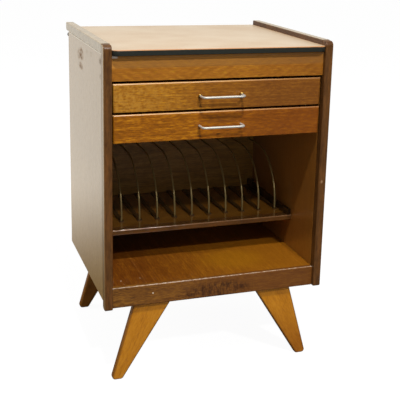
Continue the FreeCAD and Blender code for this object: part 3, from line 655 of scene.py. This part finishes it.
class NIGHTSTAND_OT_legs(bpy.types.Operator):
    """Splayed legs and their screws"""

    bl_idname = "nightstand.legs"
    bl_label = "Legs"

    def execute(self, context):
        # Solid beech, sawn on the flat and lacquered: even, with short flecks. It leans out by about
        # 24 degrees, and the grain with it. No two legs have the same seed.
        for hand, lean in (("left", math.radians(-24)), ("right", math.radians(24))):
            for pair, seed, overlay in (("front", 2.0, leg_toning), ("rear", 17.0, rear_leg_shade)):
                beech = wood(f"lacquered_beech_{pair}_{hand}", "leg", "ZXY", lean=lean, rings=3,
                             seed=seed + lean * 9, figure=0.05, streak=0.2, patch=0.3, fibre=0.5, pores=0.25,
                             gloss=0.34, coat=0.4, coat_roughness=0.2, overlay=overlay)
                finish(beech, "leg_beech", f"leg_{pair}_{hand}")
                ease(1.5, f"leg_{pair}_{hand}", segments=3)
        return {"FINISHED"}


def leg_toning(tree, axis, colour):
    """A front leg is painted darker along its edges, painted shade on the rounded arrises, and the right one
    is darker toward its foot.
    """
    right = add(tree, "MapRange", {"Value": axis["X"], 1: 90.0, 2: 110.0})
    low = add(tree, "MapRange", {"Value": axis["Z"], 1: 130.0, 2: 20.0})
    colour = tinted(tree, colour, "#dccdb8", right, low, blend="MULTIPLY")
    # For each edge: how far it leans inward for a millimetre of height, where the painted shade lies at the
    # floor, and how strong it is at the two ends of that reach.
    edges = ((0.286, (222.5, 226.0), (0.0, 0.75)), (0.629, (204.5, 208.0), (0.75, 0.0)))
    beside = add(tree, "Math", {0: axis["X"]}, operation="ABSOLUTE")
    edge_shade = 0.0
    for lean, reach, strength in edges:
        upright = add(tree, "Math", {0: axis["Z"], 1: lean, 2: beside}, operation="MULTIPLY_ADD")
        near = add(tree, "MapRange", {"Value": upright, 1: reach[0], 2: reach[1],
                                      3: strength[0], 4: strength[1]})
        edge_shade = add(tree, "Math", {0: near, 1: edge_shade}, operation="MAXIMUM")
    return tinted(tree, colour, "#6a3e0c", edge_shade)


def rear_leg_shade(tree, axis, colour):
    """The rear legs are painted darker and browner than the front ones: painted shade, as they stand under
    the object.
    """
    return tinted(tree, colour, "#b8ae92", mottle(tree, axis, (40, 40, 40), 0.75, 1.0), blend="MULTIPLY")


class NIGHTSTAND_OT_rack(bpy.types.Operator):
    """Record shelf, its strips and the wire hoops"""

    bl_idname = "nightstand.rack"
    bl_label = "Record rack"

    def execute(self, context):
        trim = context.scene.nightstand_trim
        # Veneer under a full gloss lacquer: the wires are mirrored in it.
        shelf = wood("glossy_shelf_veneer", "rack", "XYZ", rings=4, seed=57.0, figure=0.06, gloss=0.2,
                     coat=1.0, coat_roughness=0.05)
        finish(shelf, "base_veneer", "record_shelf")
        # Solid dark hardwood under the same lacquer, rounded over by hand: a clear line of gloss.
        lipping = wood("shelf_lipping_wood", "lipping", "XYZ", rings=2, seed=61.0, figure=0.1,
                       gloss=0.25, coat=1.0, coat_roughness=0.1, overlay=lipping_edge)
        finish(lipping, "dark_lipping", "shelf_lipping")
        # Thin planed battens, stained as dark as the carcass wood and lacquered.
        strips = wood("strip_wood", "stain", "YXZ", rings=2, seed=67.0, figure=0.1, gloss=0.3, coat=0.5)
        finish(strips, "dark_stained_wood", "divider_strips", "end_batten_left", "end_batten_right")
        # Drawn steel wire under a yellowed clear lacquer: between steel and brass to the eye.
        wire = plain("lacquered_drawn_wire", trim.wire, 0.38, grit=3.0, spread=0.15, metallic=0.55)
        finish(wire, "rack_wire", *[name for name in NODES if name.startswith("hoop_wire_")])
        ease(1.2, "shelf_lipping", segments=3)
        return {"FINISHED"}


def lipping_edge(tree, axis, colour):
    """The shelf's front arris carries a painted highlight, broken unevenly, strongest at the left."""
    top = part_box("shelf_lipping")[1].z / MM
    # Painted highlight along the top of the front arris.
    edge = add(tree, "MapRange", {"Value": axis["Z"], 1: top - 2.2, 2: top - 1.0, 3: 0.0, 4: 0.9})
    near = near_front(tree, axis, "shelf_lipping", 2.2)
    left = add(tree, "MapRange", {"Value": axis["X"], 1: -170.0, 2: -60.0, 3: 1.0, 4: 0.45})
    broken = broken_line(tree, axis["X"], 24.0, 0.3)
    return tinted(tree, colour, "#c0946c", edge, near, left, broken)


class NIGHTSTAND_OT_drawers(bpy.types.Operator):
    """Drawer fronts, boxes, handles and runners"""

    bl_idname = "nightstand.drawers"
    bl_label = "Drawers"

    def execute(self, context):
        trim = context.scene.nightstand_trim
        # Solid beech and birch plywood, only sealed: pale and dull beside the fronts.
        along = wood("sealed_beech_sides", "plain", "YZX", rings=3, seed=71.0, figure=0.2, gloss=0.5)
        wide = wood("sealed_beech_backs", "plain", "XZY", rings=3, seed=73.0, figure=0.2, gloss=0.5)
        sheet = wood("birch_plywood", "plain", "XYZ", rings=4, seed=79.0, figure=0.12, gloss=0.5)
        # Steel rod, drawn, bent and nickel plated: bright, with a slight grey cast. It is half metallic,
        # because a full mirror would show little but the dim room before the object.
        rod = plain("plated_steel_rod", trim.rod, 0.5, grit=6.0, spread=0.05, lift=0.004, metallic=0.5)
        # Turned steel with a plating of zinc: grey and slightly cloudy.
        nut = plain("zinc_plated_steel", trim.zinc, 0.38, grit=2.0, metallic=1.0)
        # Brass, turned and left bare: a warm yellow ring under the upper handle's ends.
        brass = plain("turned_brass", trim.brass, 0.32, grit=2.0, spread=0.1, metallic=1.0)
        for drawer, seed, overlay in (("drawer_1_", 83.0, upper_front_shift),
                                      ("drawer_2_", 97.0, veneer_join_and_shadow)):
            # Sliced veneer like the rail's, open-pored under a thin sprayed lacquer: satin.
            front = wood(drawer + "front_veneer", "front", "XZY", rings=2, seed=seed, figure=0.0,
                         streak=0.5, patch=0.25, fibre=0.85, pores=0.3, gloss=0.30, coat=0.1,
                         coat_roughness=0.14, shine=0.35, overlay=overlay)
            finish(front, "front_veneer", drawer + "front")
            finish(along, "plain_beech", drawer + "side_left", drawer + "side_right",
                   drawer + "runner_left", drawer + "runner_right")
            finish(wide, "plain_beech", drawer + "back")
            finish(sheet, "plywood", drawer + "bottom")
            finish(rod, "handle_steel", drawer + "handle")
            finish(nut, "zinc_steel", drawer + "handle_nuts")
            ease(1.8, drawer + "front", segments=4)
        finish(brass, "brass", "drawer_1_handle_bushes")
        finish(nut, "zinc_steel", "back_panel_screws", "leg_screws")
        return {"FINISHED"}


def arris_wear_and_highlight(tree, axis, colour, drawer):
    """A drawer front's top arris is tinted pale, most of all toward the left: partly wear, partly a painted
    highlight.
    """
    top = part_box(drawer)[1].z / MM
    edge = add(tree, "MapRange", {"Value": axis["Z"], 1: top - 2.2, 2: top - 1.4})
    near = near_front(tree, axis, drawer, 3.0)
    left = add(tree, "MapRange", {"Value": axis["X"], 1: -40.0, 2: 160.0, 3: 0.8, 4: 0.25})
    return tinted(tree, colour, "#dcb07c", edge, near, left)


def upper_front_shift(tree, axis, colour):
    """The upper front is golden at its left end and runs into a deeper brown to the right."""
    gold = add(tree, "MapRange", {"Value": axis["X"], 1: -224.0, 2: -30.0, 3: 1.0, 4: 0.0})
    patchy = mottle(tree, axis, (7, 7, 7), 0.1, 0.8)
    colour = tinted(tree, colour, "#b4802e", gold, patchy)
    deep = add(tree, "MapRange", {"Value": axis["X"], 1: -110.0, 2: 100.0})
    colour = tinted(tree, colour, "#935a1e", deep, 0.45)
    colour = tinted(tree, colour, "#d2ccf0", deep, blend="MULTIPLY")
    return arris_wear_and_highlight(tree, axis, colour, "drawer_1_front")


def veneer_join_and_shadow(tree, axis, colour):
    """Two leaves of veneer meet at the handle's left end. The right one is browner toward its far end, with
    a painted shadow of the upper handle's bar behind the handle, and a small knot under it."""
    # The whole front is yellower than the upper one.
    colour = tinted(tree, colour, "#fff2b8", 1.0, blend="MULTIPLY")
    leaf = add(tree, "MapRange", {"Value": axis["X"], 1: -50.0, 2: -46.0})
    colour = tinted(tree, colour, "#f4ece4", leaf, blend="MULTIPLY")
    deep = add(tree, "MapRange", {"Value": axis["X"], 1: -46.0, 2: 150.0})
    colour = tinted(tree, colour, "#86491a", deep, 0.45)
    colour = tinted(tree, colour, "#e8e2e0", deep, blend="MULTIPLY")
    # Painted shadow of the upper handle's bar.
    patch = round_spot(tree, axis["X"], axis["Z"], (2, 563), (46, 9), 0.3)
    colour = tinted(tree, colour, "#4a280c", patch)
    knot = round_spot(tree, axis["X"], axis["Z"], (-4, 532), (5, 2.2), 0.75)
    colour = tinted(tree, colour, "#2e1808", knot)
    return arris_wear_and_highlight(tree, axis, colour, "drawer_2_front")


def square_lamp(name, direction, distance, size, brightness):
    """A square lamp that shines at the middle of the object from a direction."""
    lo, hi = cad_box
    middle = (Vector(lo) + Vector(hi)) / 2
    data = bpy.data.lights.new(name, "AREA")
    data.shape = "SQUARE"
    data.size = size
    # At this power a white surface that faces the lamp renders at that brightness, where 1 is white.
    data.energy = brightness * (math.pi * distance) ** 2
    lamp = bpy.data.objects.new(name, data)
    bpy.context.scene.collection.objects.link(lamp)
    lamp.location = middle + direction * distance
    lamp.rotation_mode = "QUATERNION"
    lamp.rotation_quaternion = (-direction).to_track_quat("-Z", "Y")


def toward(side, height):
    """The direction from the object to a lamp: side is to the right of the front, both are in degrees."""
    a, e = math.radians(side), math.radians(height)
    return Vector((math.sin(a) * math.cos(e), -math.cos(a) * math.cos(e), math.sin(e)))


def seen_or_mirrored(tree):
    """The ray kinds by which the backdrop is seen: 1 for camera, gloss and glass, and the gloss alone."""
    path = add(tree, "LightPath", out=None)
    seen = path["Is Camera Ray"]
    for kind in ("Is Glossy Ray", "Is Transmission Ray"):
        seen = add(tree, "Math", {0: seen, 1: path[kind]}, operation="MAXIMUM")
    return seen, path["Is Glossy Ray"]


def warmed(tree, glossy):
    """White to the eye, and slightly warm where it is mirrored in the lacquer."""
    return tinted(tree, (1, 1, 1, 1), "#fffbf1", glossy)


class NIGHTSTAND_OT_studio(bpy.types.Operator):
    """Floor, room, lamps and camera"""

    bl_idname = "nightstand.studio"
    bl_label = "Studio"

    def execute(self, context):
        settings = context.scene.nightstand_studio
        self.floor()
        self.room(context, settings)
        for name, (side, height, distance, size) in LAMPS.items():
            square_lamp(name + "_lamp", toward(side, height), distance, size, getattr(settings, name))
        self.camera(context, settings)
        return {"FINISHED"}

    def floor(self):
        """A plain level floor, as wide as the eye can see."""
        mesh = bpy.data.meshes.new("floor")
        form = bmesh.new()
        bmesh.ops.create_circle(form, cap_ends=True, segments=96, radius=60.0)
        form.to_mesh(mesh)
        form.free()
        floor = bpy.data.objects.new("floor", mesh)
        bpy.context.scene.collection.objects.link(floor)
        # Matt backdrop paper. To the eye it glows nearly white, under a thin layer that takes the
        # object's shadow. In gloss it is a sweep that is lit behind the object and dim beside and before
        # it. The light that it throws up at the object is that of a mid grey.
        glow_seen, layer_seen, grey = 0.94, 0.13, 0.35
        made, tree = blank("white_backdrop_paper")
        seen, glossy = seen_or_mirrored(tree)
        depth = add(tree, "SeparateXYZ", {0: millimetres(tree)}, out="Y")
        lit = add(tree, "MapRange", {"Value": depth, 1: 220.0, 2: 1380.0, 3: 0.02, 4: 0.95},
                  interpolation_type="SMOOTHSTEP")
        strength = add(tree, "Mix", {0: glossy, 2: glow_seen, 3: lit})
        glow = add(tree, "Emission", {"Color": warmed(tree, glossy), "Strength": strength})
        shade = add(tree, "Mix", {0: glossy, 2: layer_seen, 3: 0.0})
        thin = add(tree, "BsdfDiffuse", {"Color": shade})
        paper = add(tree, "BsdfDiffuse", {"Color": (grey, grey, grey, 1)})
        lifted = add(tree, "AddShader", {0: glow, 1: thin})
        mixed = add(tree, "MixShader", {0: seen, 1: paper, 2: lifted})
        add(tree, "OutputMaterial", {"Surface": mixed}, out=None)
        mesh.materials.append(made)

    def room(self, context, settings):
        """White all round to the eye. In gloss it is white behind the object and dim behind the camera."""
        world = bpy.data.worlds.new("studio_room")
        world.use_nodes = True
        world.node_tree.nodes.clear()
        tree = world.node_tree
        seen, glossy = seen_or_mirrored(tree)
        ahead = add(tree, "SeparateXYZ", {0: add(tree, "TexCoord", out="Generated")}, out="Y")
        lit = add(tree, "MapRange", {"Value": ahead, 1: -0.3, 2: 0.4, 3: 0.03, 4: 0.85})
        shown = add(tree, "Mix", {0: glossy, 2: 1.0, 3: lit})
        strength = add(tree, "Mix", {0: seen, 2: settings.ambient, 3: shown})
        light = add(tree, "Background", {"Color": warmed(tree, glossy), "Strength": strength})
        add(tree, "OutputWorld", {"Surface": light}, out=None)
        context.scene.world = world

    def camera(self, context, settings):
        """A camera that stands before the left front corner and looks down a little."""
        data = bpy.data.cameras.new("camera")
        data.sensor_width = 36.0
        data.lens = settings.lens
        data.shift_x = settings.shift_x
        data.shift_y = settings.shift_y
        data.clip_end = 200.0
        camera = bpy.data.objects.new("camera", data)
        context.scene.collection.objects.link(camera)
        az, el, roll = settings.azimuth, settings.dip, settings.roll
        ahead = Vector((-math.sin(az) * math.cos(el), math.cos(az) * math.cos(el), -math.sin(el)))
        right = Vector((math.cos(az), math.sin(az), 0.0))
        up = right.cross(ahead)
        leaning_right = right * math.cos(roll) + up * math.sin(roll)
        leaning_up = up * math.cos(roll) - right * math.sin(roll)
        turned = Matrix((leaning_right, leaning_up, -ahead)).transposed()
        camera.matrix_world = Matrix.Translation(Vector(settings.place)) @ turned.to_4x4()
        context.scene.camera = camera


class NIGHTSTAND_PT_panel(bpy.types.Panel):
    """Lists the steps that finish the nightstand"""

    bl_idname = "NIGHTSTAND_PT_panel"
    bl_label = "Record nightstand"
    bl_space_type = "VIEW_3D"
    bl_region_type = "UI"
    bl_category = "Nightstand"

    def draw(self, context):
        for step in STEPS:
            self.layout.operator(step.bl_idname)
        for group in ("woods", "trim", "scales", "studio"):
            settings = getattr(context.scene, "nightstand_" + group)
            box = self.layout.box()
            for name in settings.bl_rna.properties.keys():
                if name not in ("rna_type", "name"):
                    box.prop(settings, name)


GROUPS = {"woods": WoodColours, "trim": TrimColours, "scales": WoodScales, "studio": StudioSettings}
STEPS = (NIGHTSTAND_OT_sides, NIGHTSTAND_OT_top, NIGHTSTAND_OT_base, NIGHTSTAND_OT_legs, NIGHTSTAND_OT_rack,
         NIGHTSTAND_OT_drawers, NIGHTSTAND_OT_studio)


def register():
    """Registers the classes and hangs the settings on the scene."""
    for made in (*GROUPS.values(), *STEPS, NIGHTSTAND_PT_panel):
        bpy.utils.register_class(made)
    for name, group in GROUPS.items():
        setattr(bpy.types.Scene, "nightstand_" + name, PointerProperty(type=group))


def unregister():
    """Takes the settings and the classes away again."""
    for name in GROUPS:
        delattr(bpy.types.Scene, "nightstand_" + name)
    for made in reversed((*GROUPS.values(), *STEPS, NIGHTSTAND_PT_panel)):
        bpy.utils.unregister_class(made)


def main():
    """Runs every step in order."""
    register()
    scene = bpy.context.scene
    scene.view_settings.view_transform = "Standard"
    for step in STEPS:
        group, name = step.bl_idname.split(".")
        getattr(getattr(bpy.ops, group), name)()


if __name__ == "__main__":
    main()
